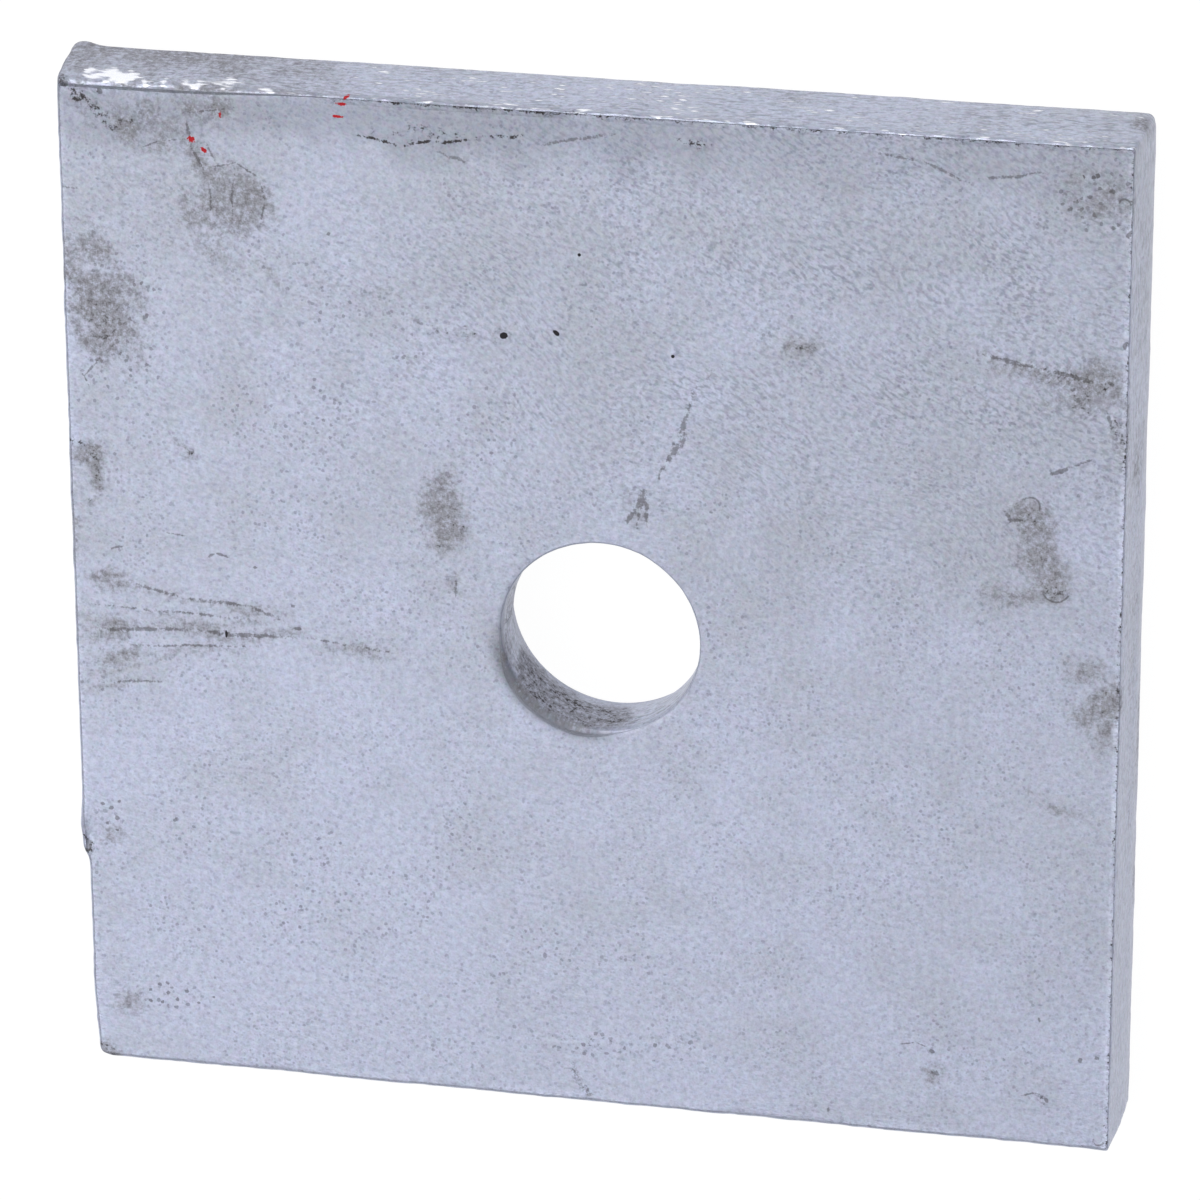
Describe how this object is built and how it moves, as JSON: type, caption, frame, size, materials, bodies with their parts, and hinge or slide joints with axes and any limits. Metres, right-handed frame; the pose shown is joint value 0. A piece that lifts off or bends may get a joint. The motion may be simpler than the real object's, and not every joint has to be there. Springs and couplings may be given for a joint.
{
  "type": "square plate washer",
  "caption": "Flat square steel plate washer with a round punched bolt hole, hot-dip galvanised, scuffed and stained.",
  "frame": {"origin": "middle of the plate's square outline, on the back face that it lies on", "axes": "+Z along the bolt hole from the back face to the front face, +X across the plate and +Y up the plate as the picture shows it"},
  "size_m": [0.0762, 0.0762, 0.0063],
  "materials": {
    "zinc_coat": "hot-dip galvanised zinc, dull and mottled blue grey, with brown stains, dark pits and scuffs"
  },
  "bodies": {
    "root": {"square_plate": "zinc_coat"}
  },
  "joints": []
}
